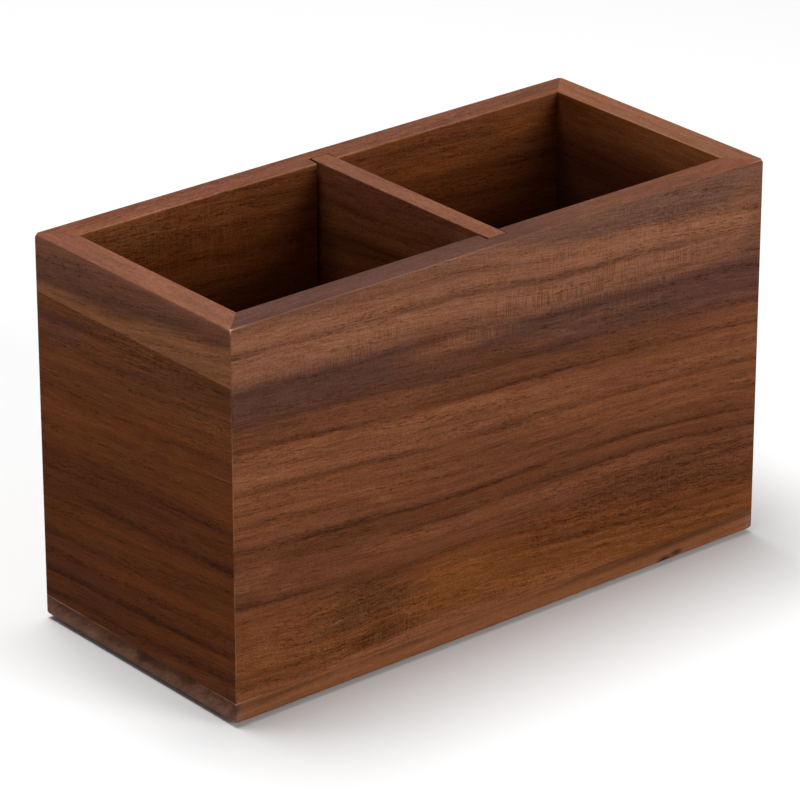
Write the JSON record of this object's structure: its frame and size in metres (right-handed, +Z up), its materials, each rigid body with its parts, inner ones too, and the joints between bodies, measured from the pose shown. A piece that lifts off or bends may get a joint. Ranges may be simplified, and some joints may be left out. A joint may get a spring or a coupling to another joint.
{
  "type": "pen holder",
  "caption": "Rectangular walnut desk pen holder: mitred open-topped box on a glued base panel, with a loose divider that lifts out of grooves to join the pockets.",
  "frame": {"origin": "middle of the underside of the feet, on the surface that the pen holder stands on", "axes": "+X to the right along the long walls, +Y from the front wall to the back wall, +Z up"},
  "size_m": [0.165, 0.075, 0.101],
  "materials": {
    "front_walnut": "satin oil over warm brown figured walnut",
    "back_walnut": "satin oil over brown walnut",
    "right_walnut": "satin oil over brown walnut",
    "left_walnut": "satin oil over dark streaked walnut",
    "strip_walnut": "satin oil over purple-brown walnut with a tan wedge",
    "divider_walnut": "satin oil over plain brown walnut",
    "base_walnut": "satin oil over brown walnut",
    "spline_maple": "bare sawn maple, hidden in the mitres",
    "foot_rubber": "matt black rubber"
  },
  "bodies": {
    "box": {"front_wall": "front_walnut", "back_wall": "back_walnut", "right_wall": "right_walnut", "left_wall_board": "left_walnut", "left_wall_top_strip": "strip_walnut", "base_panel": "base_walnut", "spline_front_left": "spline_maple", "spline_front_right": "spline_maple", "spline_back_left": "spline_maple", "spline_back_right": "spline_maple", "foot_front_left": "foot_rubber", "foot_front_right": "foot_rubber", "foot_back_left": "foot_rubber", "foot_back_right": "foot_rubber"},
    "divider": {"divider": "divider_walnut"}
  },
  "joints": [
    {"name": "divider_lift", "type": "slide", "parent": "box", "child": "divider", "axis": [0, 0, 1], "range_m": [0, 0.1]}
  ]
}
